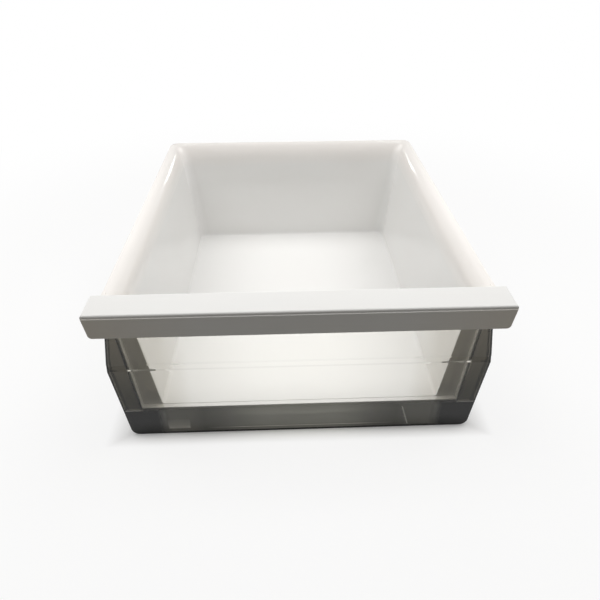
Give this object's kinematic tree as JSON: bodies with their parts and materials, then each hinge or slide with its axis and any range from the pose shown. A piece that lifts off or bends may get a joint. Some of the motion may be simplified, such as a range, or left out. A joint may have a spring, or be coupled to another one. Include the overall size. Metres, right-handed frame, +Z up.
{
  "type": "fridge drawer",
  "caption": "Open-topped refrigerator crisper drawer: white moulded tray with a flared rim and under-floor skids, clear stepped front panel and white finger-pull handle.",
  "frame": {"origin": "middle of the drawer's footprint, on the surface that it stands on", "axes": "+Z up, the handle faces -Y, +X is to the right seen from the handle's side"},
  "size_m": [0.3928, 0.445, 0.186],
  "materials": {
    "tray_white": "glossy moulded white",
    "smoke_clear": "clear moulded plastic with a light smoke tint",
    "handle_white": "satin moulded white"
  },
  "bodies": {
    "root": {"tray": "tray_white", "front_panel": "smoke_clear", "handle_body": "handle_white", "handle_cap": "handle_white"}
  },
  "joints": []
}
